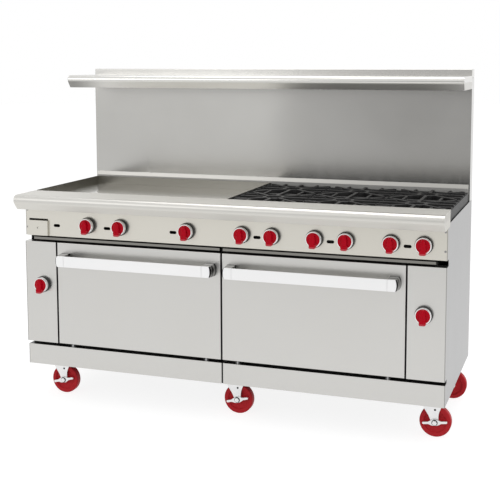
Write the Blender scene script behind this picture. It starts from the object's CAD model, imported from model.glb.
"""Finishes and dressed pieces of a commercial gas range: two ovens, a griddle and six open burners."""
import math

import bmesh
import bpy
from mathutils import Matrix, Vector


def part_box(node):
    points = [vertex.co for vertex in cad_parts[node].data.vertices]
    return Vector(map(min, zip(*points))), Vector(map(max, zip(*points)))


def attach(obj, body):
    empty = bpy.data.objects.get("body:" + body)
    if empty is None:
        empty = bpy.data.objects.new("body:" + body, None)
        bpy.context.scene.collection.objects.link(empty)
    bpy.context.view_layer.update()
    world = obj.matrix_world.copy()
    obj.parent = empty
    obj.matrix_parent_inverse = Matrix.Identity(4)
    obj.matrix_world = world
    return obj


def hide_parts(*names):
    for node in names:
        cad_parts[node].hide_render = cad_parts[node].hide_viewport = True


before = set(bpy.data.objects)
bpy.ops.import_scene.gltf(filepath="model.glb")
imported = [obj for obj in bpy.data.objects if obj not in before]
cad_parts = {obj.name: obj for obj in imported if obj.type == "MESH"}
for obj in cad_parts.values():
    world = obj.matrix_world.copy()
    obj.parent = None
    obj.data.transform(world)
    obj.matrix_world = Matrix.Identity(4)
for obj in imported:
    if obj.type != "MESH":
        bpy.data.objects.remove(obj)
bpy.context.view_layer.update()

# Shapes are in millimetres, finishes and lights in metres
PER_METRE = 1000
MM = 1 / PER_METRE


def box(node):
    """Lowest and highest corner of a CAD node, in millimetres."""
    low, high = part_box(node)
    return Vector(low) * PER_METRE, Vector(high) * PER_METRE


# Places taken from the frame, and the thickness of bent sheet
panel_low, panel_high = box("control_panel")
kick_low, kick_high = box("kick_plates")
ledge_low, ledge_high = box("front_ledge")
shelf_low, shelf_high = box("high_shelf")
guard_low, guard_high = box("backguard")
plate_low, plate_high = box("griddle_plate")
SHEET = 1.5
HALF = ledge_high.x
PANEL_Y = panel_low.y
DOOR_Y = box("oven_control_panels")[0].y


class Socket:
    """An output of a shader node. Arithmetic on it adds Math nodes."""

    def __init__(self, finish, output):
        self.finish = finish
        self.output = output

    def math(self, operation, first, second=0.0):
        return self.finish.node("ShaderNodeMath", {"operation": operation}, {0: first, 1: second})

    def __add__(self, other):
        return self.math("ADD", self, other)

    def __sub__(self, other):
        return self.math("SUBTRACT", self, other)

    def __rsub__(self, other):
        return self.math("SUBTRACT", other, self)

    def __mul__(self, other):
        return self.math("MULTIPLY", self, other)

    def __truediv__(self, other):
        return self.math("DIVIDE", self, other)

    def __gt__(self, other):
        return self.math("GREATER_THAN", self, other)

    def __lt__(self, other):
        return self.math("LESS_THAN", self, other)

    def __abs__(self):
        return self.math("ABSOLUTE", self)

    __radd__ = __add__
    __rmul__ = __mul__


class Finish:
    """The node tree of a material or world, with the calls that the finishes share."""

    def __init__(self, owner, shader="Principled BSDF", **constants):
        owner.use_nodes = True
        self.owner = owner
        self.tree = owner.node_tree
        self.shader = self.tree.nodes[shader]
        for socket, value in constants.items():
            self.shader.inputs[socket.replace("_", " ")].default_value = value

    def node(self, kind, settings=None, inputs=None, output=0):
        """Adds a node: its settings first, then the values or links of its sockets."""
        added = self.tree.nodes.new(kind)
        for key, value in (settings or {}).items():
            setattr(added, key, value)
        for key, value in (inputs or {}).items():
            self.join(value, added.inputs[key])
        return Socket(self, added.outputs[output])

    def join(self, value, socket):
        """Links a socket to another's output, or sets its value."""
        if isinstance(value, Socket):
            self.tree.links.new(value.output, socket)
        else:
            socket.default_value = value

    def feed(self, socket, value):
        """Links or sets a socket of the shader."""
        self.join(value, self.shader.inputs[socket])

    def place(self, kind="Object"):
        """The surface point in the part's frame, or with kind Generated the world's direction."""
        return self.node("ShaderNodeTexCoord", output=kind)

    def along(self, axis, kind="Object"):
        """The place's coordinate along X, Y or Z."""
        return self.node("ShaderNodeSeparateXYZ", inputs={0: self.place(kind)}, output=axis)

    def ray(self, kind):
        """1 for one kind of ray, such as Is Camera Ray."""
        return self.node("ShaderNodeLightPath", output=kind)

    def larger(self, first, second):
        """The larger of two values."""
        return self.node("ShaderNodeMath", {"operation": "MAXIMUM"}, {0: first, 1: second})

    def noise(self, stretch, detail=2.0, rough=0.5):
        """Cloudy grain from 0 to 1; stretch is its cycles per metre along each axis."""
        spread = self.node("ShaderNodeMapping", inputs={0: self.place(), "Scale": stretch})
        return self.node("ShaderNodeTexNoise", inputs={"Vector": spread, "Scale": 1.0, "Detail": detail,
                                                       "Roughness": rough})

    def ramp(self, value, low, high):
        """0 below low, 1 above high."""
        return self.node("ShaderNodeMapRange", {"interpolation_type": "SMOOTHSTEP"},
                         {"Value": value, "From Min": low, "From Max": high})

    def blend(self, factor, first, second):
        """Mixes two colours."""
        return self.node("ShaderNodeMix", {"data_type": "RGBA"}, {0: factor, 6: first, 7: second}, output=2)

    def bump(self, height, strength, distance):
        """Gives the shader a relief."""
        self.feed("Normal", self.node("ShaderNodeBump", inputs={"Strength": strength, "Distance": distance,
                                                                "Height": height}))

    def edges(self, radius):
        """1 along edges and corners, 0 on open faces."""
        worn = self.node("ShaderNodeBevel", {"samples": 4}, {"Radius": radius})
        flat = self.node("ShaderNodeNewGeometry", output="Normal")
        match = self.node("ShaderNodeVectorMath", {"operation": "DOT_PRODUCT"}, {0: worn, 1: flat},
                          output="Value")
        return self.ramp(1 - match, 0.02, 0.25)

    def screen(self, across, depth, drop):
        """Light of a screen at the studio's left: it grows slowly up to the screen's edge, then at once."""
        ratio = (across + 0.3 * drop) / depth
        return 0.45 * self.ramp(ratio, 0.08, 0.3) + 0.55 * self.ramp(ratio, 0.285, 0.315)


def surface(name, **constants):
    """A new material's finish; the constants are its shader's fixed values."""
    return Finish(bpy.data.materials.new(name), **constants)


def tone(level, warmth=0.0):
    """A grey in linear light, a little warm or cool."""
    return (level * (1 + 0.35 * warmth), level, level * (1 - warmth), 1.0)


def brushed(finish, grain):
    """Brushing and cloudiness of stainless sheet, each from 0 to 1, and the relief that they make."""
    brush = finish.noise(grain, detail=3.0, rough=0.6)
    cloud = finish.noise((2.3, 2.3, 2.9), detail=3.0)
    finish.bump(brush + 0.4 * cloud, 0.03, 0.0003)
    return brush, cloud


def mottle(cloud, brush):
    """Mostly cloudiness, with some brushing in it."""
    return cloud * 0.7 + brush * 0.3


def steel(name, grain, level=0.62, rough=0.3, warmth=0.045, edge=1.0, drawn=0.0, flange=None, fold=None):
    """Brushed stainless sheet. Grain is the brushing's cycles per metre along each axis, edge the shine at a
    grazing angle, drawn how far reflections stretch upright. Past the depth and height of flange it is
    stained dark, and past the distance fold from the middle its folded ends are dull."""
    finish = surface(name, Metallic=1.0, Specular_Tint=tone(edge), Anisotropic=drawn,
                     Anisotropic_Rotation=0.25)
    brush, cloud = brushed(finish, grain)
    smear = finish.noise((9.0, 9.0, 5.0), detail=4.0, rough=0.6)
    dim, bright = tone(level * 0.96, warmth), tone(level * 1.04, warmth * 0.6)
    colour = finish.blend(mottle(cloud, brush), dim, bright)
    if flange:
        depth, height = flange
        hidden = (finish.along("Y") > depth) * (finish.along("Z") > height)
        colour = finish.blend(hidden, colour, tone(0.02))
    if fold:
        colour = finish.blend(abs(finish.along("X")) > fold, colour, tone(level * 0.5, warmth))
    finish.feed("Base Color", colour)
    finish.feed("Roughness", rough - 0.08 + 0.06 * brush + 0.05 * cloud + 0.05 * smear)
    return finish.owner


def plated(name, level, rough, warmth=0.0):
    """Bright zinc, chrome or brass with faint cloudiness."""
    finish = surface(name, Metallic=1.0)
    cloud = finish.noise((40.0, 40.0, 40.0), detail=3.0)
    fine = finish.noise((420.0, 420.0, 420.0))
    finish.feed("Base Color", finish.blend(cloud, tone(level * 0.9, warmth), tone(level * 1.06, -warmth)))
    finish.feed("Roughness", rough - 0.05 + 0.08 * cloud + 0.04 * fine)
    finish.bump(fine, 0.05, 0.0003)
    return finish.owner


def gloss(name, colour, deep, rough, shine):
    """Moulded plastic or enamel with a slightly uneven colour."""
    finish = surface(name, Specular_IOR_Level=shine)
    cloud = finish.noise((60.0, 60.0, 60.0), detail=3.0)
    fine = finish.noise((600.0, 600.0, 600.0))
    finish.feed("Base Color", finish.blend(cloud, deep, colour))
    finish.feed("Roughness", rough + 0.08 * fine + 0.06 * cloud)
    finish.bump(fine, 0.04, 0.0003)
    return finish.owner


def cast(name, colour, bare, rough, shine=0.5):
    """Seasoned cast iron: sandy skin, dull sheen, greyer along worn edges."""
    finish = surface(name, Specular_IOR_Level=shine)
    sand = finish.noise((900.0, 900.0, 900.0), detail=3.0, rough=0.7)
    cloud = finish.noise((35.0, 35.0, 35.0), detail=3.0)
    worn = finish.edges(0.0015)
    finish.feed("Base Color", finish.blend(worn * 0.6 + cloud * 0.3, colour, bare))
    finish.feed("Roughness", rough + 0.16 * sand - 0.1 * worn)
    finish.bump(sand + cloud, 0.35, 0.0006)
    return finish.owner


def sheet_metal(name, colour, deep, metal, rough):
    """Plain galvanised, painted or raw sheet behind the stainless skin."""
    finish = surface(name, Metallic=metal)
    spangle = finish.node("ShaderNodeTexVoronoi", inputs={"Vector": finish.place(), "Scale": 70.0})
    cloud = finish.noise((12.0, 12.0, 12.0), detail=4.0)
    fine = finish.noise((300.0, 300.0, 300.0))
    finish.feed("Base Color", finish.blend(cloud * 0.6 + spangle * 0.3, deep, colour))
    finish.feed("Roughness", rough + 0.1 * cloud + 0.06 * fine)
    finish.bump(fine, 0.08, 0.0004)
    return finish.owner


def fibre(name):
    """Mineral wool slab."""
    finish = surface(name)
    strands = finish.noise((500.0, 90.0, 500.0), detail=4.0, rough=0.7)
    finish.feed("Base Color", finish.blend(strands, (0.42, 0.36, 0.2, 1), (0.66, 0.6, 0.42, 1)))
    finish.feed("Roughness", 0.85 + 0.1 * strands)
    finish.bump(strands, 0.6, 0.003)
    return finish.owner


def griddle_top(name):
    """Polished griddle steel scraped along the depth: dull beside the left splash, then stained by heat."""
    finish = surface(name, Metallic=1.0, Specular_Tint=tone(0.92))
    left, front = plate_low.x * MM, plate_low.y * MM
    across, depth = finish.along("X"), finish.along("Y")
    scrape = finish.noise((420.0, 5.0, 420.0), detail=4.0, rough=0.65)
    cloud = finish.noise((5.0, 4.0, 5.0), detail=3.0)
    scoured = 1 - finish.ramp(across, left + 0.0235, left + 0.1835)
    towards_back = finish.ramp(depth, front + 0.0325, front + 0.3725)
    towards_left = 1 - finish.ramp(across, left + 0.3035, left + 0.9035)
    stain = towards_back * towards_left * (1 - scoured)
    clean = finish.blend(mottle(cloud, scrape), tone(0.92, 0.06), tone(0.98, 0.04))
    finish.feed("Base Color", finish.blend(stain, clean, tone(0.64, 0.09)))
    finish.feed("Roughness", 0.06 + 0.12 * scoured + 0.08 * scrape + 0.05 * cloud)
    finish.bump(scrape, 0.05, 0.0004)
    return finish.owner


def ledge_metal(name):
    """Stainless ledge: bright rolled nose, satin flat top behind it, lighter slope below it."""
    finish = surface(name, Metallic=1.0, Specular_Tint=tone(0.9))
    front, top = ledge_low.y * MM, ledge_high.z * MM
    brush, cloud = brushed(finish, ACROSS_TOP)
    satin = finish.ramp(finish.along("Y"), front + 0.022, front + 0.038)
    above_slope = finish.ramp(finish.along("Z"), top - 0.036, top - 0.021)
    upper = finish.blend(mottle(cloud, brush), tone(0.58, 0.07), tone(0.63, 0.04))
    finish.feed("Base Color", finish.blend(above_slope, tone(0.67, 0.06), upper))
    finish.feed("Roughness", 0.34 + 0.16 * satin + 0.05 * brush + 0.05 * cloud)
    return finish.owner


def shelf_metal(name):
    """Stainless shelf: bright top and rolled nose, satin slope below them that is dull at its left end."""
    finish = surface(name, Metallic=1.0)
    left, top = -HALF * MM, shelf_high.z * MM
    brush, cloud = brushed(finish, ACROSS_TOP)
    satin = 1 - finish.ramp(finish.along("Z"), top - 0.03, top - 0.022)
    dull = satin * (1 - finish.ramp(finish.along("X"), left + 0.0144, left + 0.2144))
    plain = finish.blend(mottle(cloud, brush), tone(0.65, 0.05), tone(0.71, 0.03))
    finish.feed("Base Color", finish.blend(dull, plain, tone(0.3, 0.05)))
    finish.feed("Roughness", 0.12 + 0.24 * satin + 0.06 * brush + 0.08 * cloud)
    return finish.owner


def splash_metal(name):
    """Dull splash walls; the grease trough in front of the plate and below it is scoured bright."""
    finish = surface(name, Metallic=1.0, Specular_Tint=tone(0.6))
    front, floor = (plate_low.y - 7.5) * MM, (plate_high.z - 2) * MM
    brush, cloud = brushed(finish, ALONG_SIDE)
    trough = (finish.along("Y") < front) * (finish.along("Z") < floor)
    wall = finish.blend(cloud, tone(0.26, 0.1), tone(0.32, 0.08))
    finish.feed("Base Color", finish.blend(trough, wall, tone(0.95)))
    finish.feed("Roughness", 0.26 + 0.4 * trough + 0.05 * brush + 0.05 * cloud)
    return finish.owner


def bracket_metal(name, front, back):
    """Polished casting between the depths of a bar and a door; it mirrors its dark joints with both."""
    finish = surface(name, Metallic=1.0)
    depth = finish.along("Y")
    cloud = finish.noise((60.0, 60.0, 60.0), detail=3.0)
    door_joint = finish.ramp(depth, back - 0.02, back - 0.008)
    bar_joint = 1 - finish.ramp(depth, front + 0.006, front + 0.012)
    crease = finish.ramp(abs(depth - (front + 0.026)), 0.002, 0.008)
    flank = finish.blend(crease, tone(0.05), tone(0.3, 0.02))
    finish.feed("Base Color", finish.blend(finish.larger(door_joint, bar_joint), flank, tone(0.008)))
    finish.feed("Roughness", 0.16 + 0.1 * cloud)
    finish.bump(cloud, 0.05, 0.0005)
    return finish.owner


def cooktop_frame(name):
    """Stainless rear rail with a polished sloping top; dull dark steel on the walls and bars below it."""
    finish = surface(name)
    front, top = (box("griddle_splash")[1].y - 0.8) * MM, box("top_frame")[1].z * MM
    height = finish.along("Z")
    brush = finish.noise((4.0, 500.0, 700.0), detail=3.0)
    cloud = finish.noise((14.0, 14.0, 14.0), detail=3.0)
    rail = (finish.along("Y") > front) * (height > top - 0.043)
    slope = height > top - 0.0175
    stainless = finish.blend(slope, tone(0.46, 0.04), tone(0.44, 0.06))
    finish.feed("Base Color", finish.blend(rail, tone(0.06), stainless))
    finish.feed("Metallic", 0.3 + 0.7 * rail * slope)
    finish.feed("Roughness", 0.5 - 0.26 * rail * slope + 0.04 * brush + 0.06 * cloud)
    finish.bump(cloud, 0.04, 0.0003)
    return finish.owner


# Directions of brushing, in cycles per metre along each axis
ACROSS_FRONT = (3.0, 300.0, 900.0)
ACROSS_TOP = (3.0, 900.0, 300.0)
ACROSS_BAR = (3.0, 600.0, 900.0)
ALONG_SIDE = (300.0, 3.0, 900.0)

# Where folds show: the ends of the front panels, and the top flange of the kick plates
FOLD = (HALF - 2.6) * MM
KICK_FLANGE = ((kick_low.y + SHEET) * MM, (kick_high.z - 0.8) * MM)

DOOR_STEEL = steel("stainless_door", ACROSS_FRONT)
KICK_STEEL = steel("stainless_kick", ACROSS_FRONT, flange=KICK_FLANGE, fold=FOLD)
END_STEEL = steel("stainless_end", ACROSS_FRONT, fold=FOLD)
PANEL_STEEL = steel("stainless_panel", ACROSS_FRONT, level=0.66, warmth=0.12, fold=FOLD)
SIDE_STEEL = steel("stainless_side", ALONG_SIDE, level=0.5, warmth=0.0, edge=0.85)
TRAY_STEEL = steel("stainless_tray", ACROSS_FRONT, level=0.24, rough=0.34, warmth=0.1, edge=0.6)
SHELF_STEEL = steel("stainless_shelf", ACROSS_TOP, level=0.68, rough=0.2, warmth=0.05)
GUARD_STEEL = steel("stainless_guard", ACROSS_FRONT, level=0.52, rough=0.14, warmth=0.05, drawn=0.92)
BAR_STEEL = steel("polished_bar", ACROSS_BAR, level=0.9, rough=0.3, warmth=0.0)
SHELF_ROLL = shelf_metal("stainless_roll")
LEDGE_STEEL = ledge_metal("stainless_top")
SPLASH_STEEL = splash_metal("stainless_splash")
GRIDDLE = griddle_top("griddle_steel")
COOKTOP = cooktop_frame("cooktop_frame")
FORK_ZINC = plated("zinc_plate", level=0.86, rough=0.34, warmth=-0.02)
CHROME = plated("chrome_plate", level=0.9, rough=0.12)
BEZEL_CHROME = plated("bezel_chrome", level=0.7, rough=0.14)
SCREW_STEEL = plated("screw_steel", level=0.3, rough=0.3, warmth=0.06)
RACK_CHROME = plated("rack_chrome", level=0.7, rough=0.2)
BRASS = plated("valve_brass", level=0.45, rough=0.28, warmth=0.7)
KNOB_RED = gloss("knob_red", (0.62, 0.0, 0.016, 1), (0.5, 0.0, 0.011, 1), rough=0.2, shine=0.12)
POINTER_RED = gloss("pointer_red", (0.68, 0.08, 0.1, 1), (0.6, 0.06, 0.08, 1), rough=0.34, shine=0.2)
WHEEL_RED = gloss("wheel_red", (0.63, 0.028, 0.037, 1), (0.53, 0.02, 0.028, 1), rough=0.34, shine=0.14)
BEZEL_BLACK = gloss("bezel_black", (0.012, 0.012, 0.013, 1), (0.006, 0.006, 0.007, 1), rough=0.3, shine=0.4)
OVEN_ENAMEL = gloss("oven_enamel", (0.03, 0.032, 0.038, 1), (0.016, 0.017, 0.02, 1), rough=0.3, shine=0.5)
GRATE_IRON = cast("grate_iron", (0.006, 0.006, 0.007, 1), (0.13, 0.126, 0.122, 1), rough=0.36, shine=0.34)
BURNER_IRON = cast("burner_iron", (0.03, 0.028, 0.027, 1), (0.1, 0.095, 0.09, 1), rough=0.6)
PIPE_BLACK = cast("pipe_black", (0.018, 0.018, 0.019, 1), (0.05, 0.05, 0.05, 1), rough=0.5)
FRAME_PAINT = sheet_metal("frame_paint", (0.09, 0.09, 0.092, 1), (0.06, 0.06, 0.062, 1), metal=0, rough=0.45)
GALVANISED = sheet_metal("galvanised", (0.62, 0.63, 0.64, 1), (0.46, 0.47, 0.48, 1), metal=1, rough=0.34)
WOOL = fibre("mineral_wool")


# Angles between faces from which an edge is rounded, and from which it is shaded as a crease
ROUND_FROM = 0.6
CREASE_FROM = math.radians(38)


class Shape:
    """A mesh in millimetres, built up from several forms, each in one of the piece's finishes."""

    def __init__(self):
        self.mesh = bmesh.new()

    def form(self, points, faces, edge=0.0, finish=0, turn=None):
        """Adds a closed form; edge rounds its sharp edges by that radius."""
        part = bmesh.new()
        corners = [part.verts.new(p) for p in points]
        for face in faces:
            part.faces.new([corners[i] for i in face])
        bmesh.ops.recalc_face_normals(part, faces=part.faces)
        if edge:
            sharp = [e for e in part.edges if e.calc_face_angle(0.0) > ROUND_FROM]
            bmesh.ops.bevel(part, geom=sharp, offset=edge, segments=3, profile=0.5, affect="EDGES",
                            clamp_overlap=True)
        if turn:
            bmesh.ops.transform(part, matrix=turn, verts=part.verts)
        for face in part.faces:
            face.material_index = finish
            face.smooth = True
        copy = bpy.data.meshes.new("form")
        part.to_mesh(copy)
        part.free()
        self.mesh.from_mesh(copy)
        bpy.data.meshes.remove(copy)

    def block(self, x, y, z, edge=0.8, finish=0):
        """A box between two values along each axis."""
        points = [(a, b, c) for a in x for b in y for c in z]
        faces = [(0, 1, 3, 2), (4, 6, 7, 5), (0, 4, 5, 1), (2, 3, 7, 6), (0, 2, 6, 4), (1, 5, 7, 3)]
        self.form(points, faces, edge, finish)

    def prism(self, axis, span, outline, edge=0.6, finish=0, turn=None, far=None):
        """An outline drawn along an axis to its equal or to another, far. X takes (y, z), Y takes (x, z)."""
        order = {"X": lambda s, p: (s, p[0], p[1]), "Y": lambda s, p: (p[0], s, p[1])}[axis]
        n = len(outline)
        points = [order(span[0], p) for p in outline] + [order(span[1], p) for p in far or outline]
        faces = [tuple(range(n)), tuple(range(2 * n - 1, n - 1, -1))]
        faces += [(i, (i + 1) % n, n + (i + 1) % n, n + i) for i in range(n)]
        self.form(points, faces, edge, finish, turn)

    def lathe(self, axis, centre, profile, finish=0, count=48):
        """Turns (radius, distance) points about an axis; a profile off the axis closes on itself."""
        spin = {"X": lambda r, a, h: (h, r * math.cos(a), r * math.sin(a)),
                "Y": lambda r, a, h: (r * math.cos(a), h, r * math.sin(a)),
                "Z": lambda r, a, h: (r * math.cos(a), r * math.sin(a), h)}[axis]
        points, rings = [], []
        for r, h in profile:
            if r == 0:
                rings.append([len(points)])
                points.append(spin(0, 0, h))
            else:
                rings.append(list(range(len(points), len(points) + count)))
                points += [spin(r, 2 * math.pi * k / count, h) for k in range(count)]
        points = [Vector(p) + Vector(centre) for p in points]
        pairs = list(zip(rings, rings[1:]))
        if profile[0][0] and profile[-1][0]:
            pairs.append((rings[-1], rings[0]))
        faces = []
        for low, high in pairs:
            for k in range(count):
                corners = ((low, k), (low, k + 1), (high, k + 1), (high, k))
                quad = [ring[i % len(ring)] for ring, i in corners]
                faces.append(tuple(dict.fromkeys(quad)))
        self.form(points, faces, 0.0, finish)

    def rod(self, axis, span, radius, finish=0):
        """A round bar along Y with softened ends; axis gives its x and z, span its ends."""
        start, end = span
        soft = min(0.8, radius / 4, abs(end - start) / 4)
        profile = [(0, start), (radius - soft, start), (radius, start + soft), (radius, end - soft),
                   (radius - soft, end), (0, end)]
        x, z = axis
        self.lathe("Y", (x, 0, z), profile, finish, count=32)


def rounded(points, radii, steps=6):
    """Rounds the corners of an open line of points, each by its own radius."""
    line = [Vector(p) for p in points]
    path = [line[0]]
    for before, corner, after, radius in zip(line, line[1:], line[2:], radii):
        u, v = (before - corner).normalized(), (after - corner).normalized()
        half = u.angle(v) / 2
        run = radius / math.tan(half)
        centre = corner + (u + v).normalized() * (radius / math.sin(half))
        start, end = corner + u * run - centre, corner + v * run - centre
        swing = start.angle(end)
        for k in range(steps + 1):
            t = k / steps
            arm = start * math.sin((1 - t) * swing) + end * math.sin(t * swing)
            path.append(centre + arm / math.sin(swing))
    return path + [line[-1]]


def rolled_edge(low, high, radius, back, steps=16):
    """Path of a rolled front edge: flat top, round nose, slope that ends back from the front."""
    centre = Vector((low.y + radius, high.z - radius))
    foot = Vector((low.y + back, low.z))
    reach = foot - centre
    first = math.pi / 2
    last = math.atan2(reach.y, reach.x) - math.acos(radius / reach.length) + 2 * math.pi
    angles = [first + (last - first) * k / steps for k in range(steps + 1)]
    arc = [centre + radius * Vector((math.cos(a), math.sin(a))) for a in angles]
    return [Vector((high.y, high.z))] + arc + [foot]


def bent_sheet(path):
    """The outline of a bent sheet: the path is its outer face, the sheet lies to the left of its run."""
    inner = []
    for k, p in enumerate(path):
        ahead = path[min(k + 1, len(path) - 1)] - p
        behind = p - path[max(k - 1, 0)]
        run = (ahead.normalized() + behind.normalized()).normalized()
        inner.append(p + Vector((-run.y, run.x)) * SHEET)
    return path + inner[::-1]


def mirrored(half):
    """A half outline with its mirror image; points on the middle line stay single."""
    return [tuple(p) for p in half] + [(-a, b) for a, b in reversed(half) if a]


def shifted(outline, x, z):
    """An outline moved across and up."""
    return [(x + a, z + b) for a, b in outline]


def piece(name, shape, body, finishes, nodes=()):
    """Makes the shape an object that rides on a body and stands for CAD nodes."""
    for line in shape.mesh.edges:
        line.smooth = line.calc_face_angle(0.0) < CREASE_FROM
    bmesh.ops.scale(shape.mesh, vec=(MM, MM, MM), verts=shape.mesh.verts)
    data = bpy.data.meshes.new(name)
    shape.mesh.to_mesh(data)
    shape.mesh.free()
    for finish in finishes:
        data.materials.append(finish)
    made = bpy.data.objects.new(name, data)
    bpy.context.scene.collection.objects.link(made)
    made.modifiers.new("even_shading", "WEIGHTED_NORMAL").keep_sharp = True
    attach(made, body)
    if nodes:
        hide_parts(*nodes)


def dress(finish, *nodes):
    """Gives CAD nodes a finish."""
    for node in nodes:
        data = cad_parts[node].data
        data.materials.clear()
        data.materials.append(finish)


def make_ledge():
    """Landing ledge: bent sheet with a rolled nose, end caps and a rear lip."""
    cap_depth, cap_lap = 155, 0.4
    lip_height, lip_drop = 20, 0.8
    path = rolled_edge(ledge_low, ledge_high, radius=22, back=27)
    hem = Vector((PANEL_Y + SHEET, ledge_low.z))
    cap_back = ledge_low.y + cap_depth
    cap = path[1:] + [(cap_back, ledge_low.z), (cap_back, ledge_high.z)]
    end = HALF - SHEET
    shape = Shape()
    shape.prism("X", (-end, end), bent_sheet(path + [hem]), edge=0.3)
    for side in (-1, 1):
        shape.prism("X", (side * (end - cap_lap), side * HALF), cap, edge=0.7)
    shape.block((-end, end), (ledge_high.y - SHEET, ledge_high.y),
                (ledge_high.z - lip_height, ledge_high.z - lip_drop), edge=0.4)
    piece("front_ledge_sheet", shape, "chassis", [LEDGE_STEEL], ["front_ledge"])


def make_shelf():
    """High shelf: bent sheet with a rolled nose between two end brackets."""
    hem_depth, end_gap = 35, 0.2
    path = rolled_edge(shelf_low, shelf_high, radius=20, back=23)
    hem = Vector((shelf_low.y + hem_depth, shelf_low.z))
    end = HALF - SHEET
    shape = Shape()
    shape.prism("X", (-end + end_gap, end - end_gap), bent_sheet(path + [hem]), edge=0.3)
    for side in (-1, 1):
        shape.prism("X", (side * end, side * HALF), path + [(shelf_high.y, shelf_low.z)])
    piece("high_shelf_sheet", shape, "chassis", [SHELF_ROLL], ["high_shelf"])


def make_backguard():
    """Backguard with a bright cap above the seam behind the shelf."""
    seam_drop, seam_gap = 10, 0.1
    seam = shelf_high.z - seam_drop
    width, depth = (-HALF, HALF), (guard_low.y, guard_high.y)
    shape = Shape()
    shape.block(width, depth, (guard_low.z, seam), edge=0.3)
    shape.block(width, depth, (seam + seam_gap, guard_high.z), edge=2.5, finish=1)
    piece("backguard_box", shape, "chassis", [GUARD_STEEL, SHELF_STEEL], ["backguard"])


# Knobs and the rings round them
KNOB_RADIUS = 29.5
BEZEL_BORE = 30.5
KNOB_SIDES = 64
KNOB_NODES = [f"griddle_knob_{i}" for i in (1, 2, 3)] + [f"burner_knob_{i}" for i in range(1, 7)]
KNOB_NODES += ["left_oven_knob", "right_oven_knob"]


def turned(profile, face):
    """A profile of (radius, distance in front of a face) as (radius, depth)."""
    return [(radius, face - out) for radius, out in profile]


def make_knob(node, face):
    """Turned skirt, domed face in a chrome rim, and a grip bar that reaches past the rim as a pointer."""
    low, high = box(node)
    x = (low.x + high.x) / 2
    z = high.z - KNOB_RADIUS
    skirt = [(0, 1), (28.7, 1), (KNOB_RADIUS, 2), (29.3, 24), (28.2, 24)]
    dome = [(27.9, 28), (25.6, 30), (18, 31), (0, 31.6)]
    rim = [(27.5, 26.4), (30.8, 26.4), (31.2, 26.9), (30.8, 27.8), (28.2, 28.2), (27.5, 27.6)]
    ridge = mirrored([(4, 27.5), (11, 10), (12, -24)])
    ridge_front, ridge_root, tab_root = 43, 28, 27
    stem_radius, stem_start, stem_end = 4, 1.5, 27
    shape = Shape()
    shape.lathe("Y", (x, 0, z), turned(skirt + dome, face), count=KNOB_SIDES)
    shape.lathe("Y", (x, 0, z), turned(rim, face), finish=2, count=KNOB_SIDES)
    shape.prism("Y", (face - ridge_front, face - ridge_root), shifted(ridge, x, z), edge=4)
    for top, foot, front, finish in ((15, 30, 45, 0), (26, 34, 45.4, 1)):
        tab = rounded([(0, -top), (14.5, -top), (11.5, -foot), (0, -foot)], [2, 7])
        outline = shifted(mirrored(tab), x, z)
        shape.prism("Y", (face - front, face - tab_root), outline, edge=2.4, finish=finish)
    shape.rod((x, z), (face - stem_start, face + stem_end), stem_radius)
    piece(node + "_grip", shape, node, [KNOB_RED, POINTER_RED, CHROME], [node])
    return x, 0, z


def make_knobs():
    """Eleven knobs, each in a black base ring with a chrome ring in front of it."""
    base = [(BEZEL_BORE, 0), (35, 0), (35, 11.5), (34.2, 13), (BEZEL_BORE, 13)]
    collar = [(BEZEL_BORE, 13), (32.5, 13), (32.5, 24.4), (31.9, 25.6), (31.1, 26), (BEZEL_BORE, 25.4)]
    rings = Shape()
    for node in KNOB_NODES:
        face = DOOR_Y if node.endswith("oven_knob") else PANEL_Y
        centre = make_knob(node, face)
        rings.lathe("Y", centre, turned(base, face), count=KNOB_SIDES)
        rings.lathe("Y", centre, turned(collar, face), finish=1, count=KNOB_SIDES)
    piece("knob_bezel_rings", rings, "chassis", [BEZEL_BLACK, BEZEL_CHROME], ["knob_bezels"])


# Door hinges: distance from the door's ends, drop below the door, half widths of the knuckle and its arm
HINGE_INSET = 66
HINGE_DROP = 8
KNUCKLE_HALF = 3.5
ARM_HALF = 5


def make_door(side):
    """Folded door skin with soft corners and two hinge knuckles below it."""
    low, high = box(side + "_door_skin")
    foot = box(side + "_door_liner")[0].z
    pin = Vector((0, PANEL_Y, foot - HINGE_DROP))
    knuckle = [(4.1, -KNUCKLE_HALF), (6.7, -KNUCKLE_HALF), (7, -3.2), (7, 3.2), (6.7, KNUCKLE_HALF),
               (4.1, KNUCKLE_HALF)]
    skin = Shape()
    skin.block((low.x, high.x), (low.y, high.y), (foot, high.z), edge=2.2)
    for x in (low.x + HINGE_INSET, high.x - HINGE_INSET):
        skin.lathe("X", pin, [(radius, x + run) for radius, run in knuckle], finish=1)
        skin.block((x - KNUCKLE_HALF, x + KNUCKLE_HALF), (pin.y - ARM_HALF, pin.y + ARM_HALF),
                   (pin.z + 4.5, foot + 1), edge=0.3, finish=1)
    piece(side + "_door_panel", skin, side + "_door", [DOOR_STEEL, SCREW_STEEL],
          [side + "_door_skin"])


def bracket(seat, reach, tall, bow, steps=12):
    """Outline of a handle bracket from the bar's seat to its bowed outer end."""
    radius = (tall * tall + bow * bow) / (2 * bow)
    spread = math.asin(tall / radius)
    centre = seat + reach + bow - radius
    arc = [spread * (2 * k / steps - 1) for k in range(steps + 1)]
    outer = [(centre + radius * math.cos(a), radius * math.sin(a)) for a in arc]
    return [(seat, -tall)] + outer + [(seat, tall)]


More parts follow.
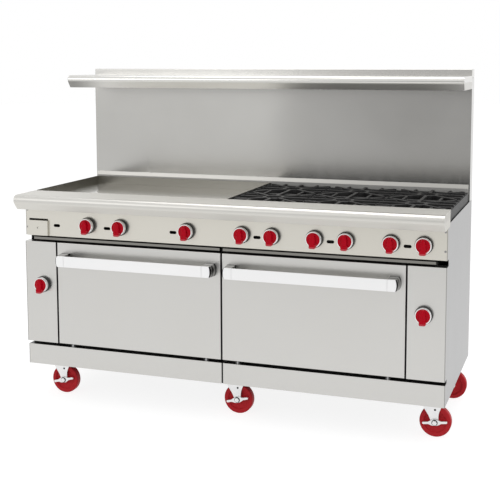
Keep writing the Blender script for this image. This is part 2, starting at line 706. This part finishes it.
def make_handle(side):
    """Bare flat bar between two polished brackets that bow outward at their ends."""
    low, high = box(side + "_door_handle")
    middle = (low + high) / 2
    tall = (high.z - low.z) / 2
    bar = tall - 2.5
    bar_thickness, bar_gap = 3, 0.5
    plate_thickness, plate_lap = 5, 1
    end_length = 45
    seat = (high.x - low.x) / 2 - end_length
    outlines = [bracket(seat, *form) for form in ((31, bar, 5), (34, tall - 4, 6), (37, tall, 8))]
    grip = Shape()
    grip.block((middle.x - seat + bar_gap, middle.x + seat - bar_gap), (low.y, low.y + bar_thickness),
               (middle.z - bar, middle.z + bar), edge=1.0)
    for end in (-1, 1):
        plate, front, back = (shifted([(end * a, b) for a, b in outline], middle.x, middle.z)
                              for outline in outlines)
        grip.prism("Y", (low.y, low.y + plate_thickness), plate, edge=1.2)
        grip.prism("Y", (low.y + plate_thickness - plate_lap, high.y), front, edge=0.5, finish=1, far=back)
    shine = bracket_metal(side + "_bracket_metal", low.y * MM, high.y * MM)
    piece(side + "_door_bar", grip, side + "_door", [BAR_STEEL, shine],
          [side + "_door_handle"])


def make_drawer():
    """Grease drawer: folded box with a pull hole in its front."""
    low, high = box("grease_drawer")
    middle = (low + high) / 2
    panel_gap, inset, eyelet_stand, hole_radius = 0.5, 7, 1.2, 2.7
    back = PANEL_Y - panel_gap
    sides = (low.x + inset, high.x - inset)
    floor, top = low.z + inset, high.z - inset
    eyelet = [(2.6, 0), (7, 0), (7.6, 0.6), (7.6, 2.4), (2.6, 2.4)]
    shape = Shape()
    shape.block((low.x, high.x), (low.y + eyelet_stand, back), (low.z, high.z), edge=0.9)
    shape.lathe("Y", (middle.x, 0, middle.z), [(radius, low.y + run) for radius, run in eyelet])
    shape.rod((middle.x, middle.z), (low.y + 0.8, low.y + 1.6), hole_radius, finish=1)
    shape.block(sides, (back, high.y), (floor, floor + SHEET), edge=0.4)
    for x in (sides[0], sides[1] - SHEET):
        shape.block((x, x + SHEET), (back, high.y), (floor, top), edge=0.4)
    shape.block(sides, (high.y - SHEET, high.y), (floor, top), edge=0.4)
    piece("grease_drawer_box", shape, "grease_drawer", [PANEL_STEEL, BEZEL_BLACK],
          ["grease_drawer"])


def make_griddle():
    """Griddle slab with softened edges."""
    shape = Shape()
    shape.block((plate_low.x, plate_high.x), (plate_low.y, plate_high.y), (plate_low.z, plate_high.z),
                edge=2.5)
    piece("griddle_slab", shape, "chassis", [GRIDDLE], ["griddle_plate"])


# Grates: how many, the gap between them, and the sizes of their frames, bars, fingers and stubs
GRATE_COLUMNS = 3
GRATE_ROWS = 2
GRATE_GAP = 3
GRATE_BAR = 13
FRAME_DROP = 8
FRAME_SKIN = 0.3
FINGER_START = 43
STUB_HALF = 5
CAST_EDGE = 1.8


def make_grates():
    """Six cast grates over the burners."""
    low, high = box("grates")
    wide = (high.x - low.x - (GRATE_COLUMNS - 1) * GRATE_GAP) / GRATE_COLUMNS
    deep = (high.y - low.y - (GRATE_ROWS - 1) * GRATE_GAP) / GRATE_ROWS
    half = Vector((wide, deep)) / 2
    shape = Shape()
    for column in range(GRATE_COLUMNS):
        for row in range(GRATE_ROWS):
            x = low.x + half.x + column * (wide + GRATE_GAP)
            y = low.y + half.y + row * (deep + GRATE_GAP)
            make_grate(shape, Vector((x, y, 0)), half, low.z, high.z)
    piece("cast_grates", shape, "chassis", [GRATE_IRON], ["grates"])


def make_grate(shape, middle, half, low, high):
    """Frame, centre ring, eight fingers from the ring to the frame and eight stubs inside the frame."""
    x, y = middle.x, middle.y
    inner = half - Vector((GRATE_BAR, GRATE_BAR))
    rim = (low, high - FRAME_DROP)
    for side in (-1, 1):
        shape.block((x + side * half.x, x + side * inner.x), (y - half.y, y + half.y), rim, edge=2.2)
        shape.block((x - half.x, x + half.x), (y + side * half.y, y + side * inner.y), rim, edge=2.2)
    ring = [(33, low + 7), (34.5, low + 6), (44.5, low + 6), (46, low + 7.5), (46, high - 2.5),
            (44.2, high - 0.6), (43, high), (36, high), (34.6, high - 0.6), (33, high - 2.5)]
    shape.lathe("Z", middle, ring)
    add_fingers(shape, middle, half, low, high)
    for side in (-1, 1):
        beside = stub(x, half.x, side, (50, 62, 40), low, high)
        facing = stub(y, half.y, side, (46, 58, 38), low, high)
        for share in (-0.5, 0.5):
            across, along = x + share * half.x, y + share * half.y
            shape.prism("Y", (along - STUB_HALF, along + STUB_HALF), beside, edge=CAST_EDGE)
            shape.prism("X", (across - STUB_HALF, across + STUB_HALF), facing, edge=CAST_EDGE)


def add_fingers(shape, middle, half, low, high):
    """Four straight and four diagonal fingers; their side outline is given in shares of their length."""
    finger = [(0, low + 4), (1, low + 4), (1, high - 1.5), (0.985, high), (0.02, high), (0, high - 1.5)]
    corner = half - Vector((GRATE_BAR, GRATE_BAR))
    slant = math.atan2(corner.y, corner.x)
    runs = [(math.radians(90 * k), half[k % 2] - FRAME_SKIN) for k in range(4)]
    runs += [(base + side * slant, corner.length) for base in (0, math.pi) for side in (-1, 1)]
    for angle, end in runs:
        turn = Matrix.Translation(middle) @ Matrix.Rotation(angle, 4, "Z")
        outline = [(FINGER_START + share * (end - FINGER_START), z) for share, z in finger]
        shape.prism("Y", (-GRATE_BAR / 2, GRATE_BAR / 2), outline, edge=CAST_EDGE, turn=turn)


def stub(centre, half, side, insets, low, high):
    """Outline of a short finger on one side of the frame; insets place its flat, tip and foot."""
    flat, tip, foot = insets
    corners = [(FRAME_SKIN, low + 5), (FRAME_SKIN, high), (flat, high), (tip, high - 9), (foot, low + 8)]
    return [(centre + side * (half - inset), z) for inset, z in corners]


# Casters: wheel, axle, distance from swivel to axle, fork, and room for the brake in front of it
WHEEL_RADIUS = 63.5
TREAD_HALF = 16
SHOULDER = 6
AXLE_RADIUS = 6
AXLE_HALF = 24
TRAIL = 31
CROWN_RADIUS = 27
CROWN_THICKNESS = 10
FORK_HALF = 22
LEG_SHEET = 4
EYE_RADIUS = 15.5
BRAKE_DEPTH = 9
BRAKE_STUD = 34
CASTERS = [f"{row}_{place}" for row in ("front", "rear") for place in ("left", "middle", "right")]


def make_wheel(node):
    """Solid wheel with a hub, dished sides and rounded shoulders."""
    low, high = box(node)
    centre = (low + high) / 2
    dish = [(6.1, -1.5), (18, -1.5), (19, -0.5), (21.5, 6), (24, 7),
            (41, 7), (43.5, 5.6), (45.4, 1), (47, 0)]
    for turn in (math.radians(9 * k) for k in range(11)):
        dish.append((WHEEL_RADIUS + SHOULDER * (math.sin(turn) - 1), SHOULDER * (1 - math.cos(turn))))
    side = [(radius, inset - TREAD_HALF) for radius, inset in dish]
    profile = side + [(WHEEL_RADIUS, 0)] + [(radius, -run) for radius, run in reversed(side)]
    shape = Shape()
    shape.lathe("Y", centre, profile, count=72)
    piece(node + "_tread", shape, node, [WHEEL_RED], [node])
    return centre


def make_caster(name):
    """Swivel fork with flared legs, axle and six-sided nuts; the front ones carry a brake lever."""
    brake = name.startswith("front")
    hub = make_wheel(name + "_wheel")
    low, high = box(name + "_fork")
    lead = -1 if name == "rear_left" else 1
    swivel = low.x + CROWN_RADIUS if lead > 0 else high.x - CROWN_RADIUS
    crown, y = high.z, hub.y
    top = crown - CROWN_THICKNESS / 2 - hub.z
    swing = [math.radians(-95 + 19 * k) for k in range(11)]
    eye = [(EYE_RADIUS * math.sin(a), -EYE_RADIUS * math.cos(a)) for a in swing]
    waist = [(14.5, 8), (13.5, 22), (15, 36), (19, 48), (23, 57), (25, top)]
    slant = [(-18 - abs(hub.x - swivel), top), (-47, 57), (-26, 25)]
    leg = [(hub.x + lead * a, hub.z + b) for a, b in eye + waist + slant]
    neck = [(0, -0.5), (26, -0.5), (26, -13), (20, -15.5), (0, -15.5)]
    nut = [(0, 0), (10, 0), (10, 4.4), (8.6, 5), (0, 5)]
    rivet = [(0, -21), (4.2, -21), (4.2, -22.8), (3, -23.4), (0, -23.4)]
    rivet_rise = 50
    washer = [(AXLE_RADIUS, -30.7), (12.2, -30.7), (12.2, -31.3), (AXLE_RADIUS, -31.3)]
    fork = Shape()
    fork.block((swivel - lead * CROWN_RADIUS, hub.x + lead * 26), (y - FORK_HALF, y + FORK_HALF),
               (crown - CROWN_THICKNESS, crown), edge=2.5)
    fork.lathe("Z", (swivel, y, crown), neck)
    for side in (-1, 1):
        fork.prism("Y", (y + side * (FORK_HALF - LEG_SHEET), y + side * FORK_HALF), leg, edge=0.9)
        seat = y + side * (FORK_HALF + (BRAKE_DEPTH if brake and side < 0 else 0))
        fork.lathe("Y", (hub.x, seat, hub.z), [(radius, side * run) for radius, run in nut], count=6)
    fork.rod((hub.x, hub.z), (y - (BRAKE_STUD if brake else AXLE_HALF), y + AXLE_HALF), AXLE_RADIUS)
    fork.lathe("Y", (hub.x, y, hub.z + rivet_rise), rivet, finish=1, count=24)
    if brake:
        fork.lathe("Y", (hub.x, y, hub.z), washer, finish=1)
    piece(name + "_fork_stirrup", fork, name + "_caster", [FORK_ZINC, BEZEL_BLACK], [name + "_fork"])
    if brake:
        make_lever(name, hub)


def make_lever(name, hub):
    """Brake lever with a round boss and two pedals, tilted about the axle."""
    tilt = 7 if name == "front_right" else 14
    turn = Matrix.Translation(hub) @ Matrix.Rotation(math.radians(-tilt), 4, "Y")
    upper = mirrored([(50, 0), (49, 3.6), (46, 5), (26, 5.2), (15, 10.5), (7, 12.4), (0, 13)])
    outline = upper + [(a, -b) for a, b in reversed(upper) if b]
    lever = Shape()
    lever.prism("Y", (-30.5, -22.5), outline, edge=1.6, turn=turn)
    piece(name + "_brake_pedal", lever, name + "_brake", [FORK_ZINC], [name + "_brake_lever"])


def make_screws():
    """Domed screws in the control panel and shelf brackets, and the bolts under the caster plates."""
    dome = [(0, 0), (4.5, 0), (4.3, 1.0), (3.4, 1.9), (1.9, 2.4), (0, 2.5)]
    bolt = [(0, -5), (5, -5), (6, -4.2), (6, 0), (0, 0)]
    bolt_reach, plate_thickness = 31, 6
    panel_inset, panel_levels = 8, (panel_low.z + 35, panel_high.z - 12)
    bracket_depths, bracket_level = (guard_low.y - 30, guard_low.y - 67.5), shelf_high.z - 28.5
    shape = Shape()
    for side in (-1, 1):
        for z in panel_levels:
            shape.lathe("Y", (side * (HALF - panel_inset), 0, z), turned(dome, PANEL_Y), count=24)
        for y in bracket_depths:
            head = [(radius, side * run) for radius, run in dome]
            shape.lathe("X", (side * HALF, y, bracket_level), head, finish=1, count=24)
    underside = box("caster_plates")[1].z - plate_thickness
    for name in CASTERS:
        low, high = box(name + "_wheel")
        hub = (low + high) / 2
        swivel = hub.x + (TRAIL if name == "rear_left" else -TRAIL)
        for x in (swivel - bolt_reach, swivel + bolt_reach):
            for y in (hub.y - bolt_reach, hub.y + bolt_reach):
                shape.lathe("Z", (x, y, underside), bolt, count=6)
    piece("screw_heads", shape, "chassis", [SCREW_STEEL, SHELF_STEEL], ["screws"])


def make_joint_strip():
    """Strip behind the joint of the two kick plates."""
    half_width, set_back = 14, 4
    front = kick_low.y + set_back
    shape = Shape()
    shape.block((-half_width, half_width), (front, front + SHEET),
                (kick_low.z + 1, kick_high.z - 2), edge=0.3)
    piece("kick_joint_strip", shape, "chassis", [PIPE_BLACK])


# The pieces, then the finishes of the CAD nodes that show as they are
make_ledge()
make_joint_strip()
make_shelf()
make_backguard()
make_knobs()
make_drawer()
make_griddle()
make_grates()
make_screws()
for hand in ("left", "right"):
    make_door(hand)
    make_handle(hand)
for caster in CASTERS:
    make_caster(caster)

dress(KICK_STEEL, "kick_plates")
dress(END_STEEL, "oven_control_panels")
dress(DOOR_STEEL, "left_door_liner", "right_door_liner")
dress(TRAY_STEEL, "left_drip_tray", "right_drip_tray")
dress(PANEL_STEEL, "control_panel")
dress(SIDE_STEEL, "side_panels")
dress(SPLASH_STEEL, "griddle_splash")
dress(GALVANISED, "back_panel")
dress(FRAME_PAINT, "base_frame")
dress(PIPE_BLACK, "door_hinge_brackets", "gas_manifold")
dress(COOKTOP, "top_frame")
dress(OVEN_ENAMEL, "oven_liners")
dress(WOOL, "oven_insulation")
dress(RACK_CHROME, "oven_racks")
dress(BURNER_IRON, "oven_burners", "griddle_burners", "burner_heads")
dress(BRASS, "gas_valves")
dress(FORK_ZINC, "caster_plates")


def light_floor():
    """A wide pale floor that stays white to the camera and keeps the range's soft shadow."""
    radius, count = 30, 72
    turns = [2 * math.pi * k / count for k in range(count)]
    rim = [(radius * math.cos(a), radius * math.sin(a), 0.0) for a in turns]
    data = bpy.data.meshes.new("floor")
    data.from_pydata(rim, [], [tuple(range(count))])
    floor = bpy.data.objects.new("floor", data)
    bpy.context.scene.collection.objects.link(floor)
    finish = surface("floor_paper", Roughness=0.9, Specular_IOR_Level=0.0, Emission_Strength=1.0)
    grain = finish.noise((90.0, 90.0, 90.0), detail=3.0)
    finish.feed("Base Color", finish.blend(grain, tone(0.3), tone(0.31)))
    depth = finish.along("Y")
    near = finish.ramp(depth, -10.0, -6.0)
    screen = finish.screen(finish.along("X"), depth, 1.2)
    # A faint glow for all rays, white for the camera, and for the metal a studio floor that dims far off
    mirrored_glow = 0.45 * near + (1 - near) * (0.4 * screen - 0.1)
    glow = 0.3 + 0.56 * finish.ray("Is Camera Ray") + finish.ray("Is Glossy Ray") * mirrored_glow
    finish.feed("Emission Color", finish.blend(glow, tone(0.0), tone(1.0)))
    data.materials.append(finish.owner)


def light_studio():
    """White to the camera; metal sees a bright studio that darkens towards the horizon in front."""
    world = bpy.data.worlds.new("studio")
    bpy.context.scene.world = world
    studio = Finish(world, "Background", Strength=1.0)
    seen, glossy, through = [studio.ray(f"Is {kind} Ray") for kind in ("Camera", "Glossy", "Transmission")]
    across, depth, height = [studio.along(axis, "Generated") for axis in "XYZ"]
    # Mirrored directions: in front of the range, level with it, and a little above
    front = studio.ramp(depth * -1, 0.5, 0.95)
    level = 1 - studio.ramp(abs(height), 0.04, 0.14)
    above = studio.ramp(height, 0.04, 0.14) * (1 - studio.ramp(height, 0.25, 0.5))
    horizon = level * (0.52 - 0.44 * studio.screen(across, depth, abs(height)))
    mirrored_glow = 1 - front * (horizon + above * 0.1)
    glow = seen + (1 - seen) * ((glossy * mirrored_glow) + (1 - glossy) * (through + (1 - through) * 0.62))
    studio.feed("Color", studio.blend(glow, tone(0.0), tone(1.0)))


def add_lamp(name, at, aim, size, power):
    """A rectangular lamp at one point, turned to another."""
    data = bpy.data.lights.new(name, "AREA")
    data.shape = "RECTANGLE"
    data.size, data.size_y = size
    data.energy = power
    lamp = bpy.data.objects.new(name, data)
    lamp.location = at
    lamp.rotation_euler = (Vector(aim) - Vector(at)).to_track_quat("-Z", "Y").to_euler()
    bpy.context.scene.collection.objects.link(lamp)


def set_camera():
    """The photograph's camera, fitted to the straight edges of the range."""
    tilt, roll, heading = 90 - 6.19, 0.1, 19.01
    data = bpy.data.cameras.new("photo_camera")
    data.sensor_width = 36.0
    data.lens = 71.58
    data.shift_x = -0.0095
    data.shift_y = -0.165
    camera = bpy.data.objects.new("photo_camera", data)
    camera.location = (1.4318, -4.0554, 1.4948)
    camera.rotation_euler = [math.radians(angle) for angle in (tilt, roll, heading)]
    bpy.context.scene.collection.objects.link(camera)
    bpy.context.scene.camera = camera


light_floor()
light_studio()
add_lamp("top_softbox", at=(0.2, 0.2, 3.9), aim=(0, -0.2, 0.9), size=(4.0, 2.0), power=54)
add_lamp("front_softbox", at=(-2.6, -4.6, 2.8), aim=(0, 0, 0.7), size=(2.4, 2.0), power=20)
add_lamp("side_softbox", at=(4.2, -1.6, 2.6), aim=(0, 0, 0.7), size=(2.0, 2.0), power=14)
set_camera()
bpy.context.scene.view_settings.view_transform = "Standard"
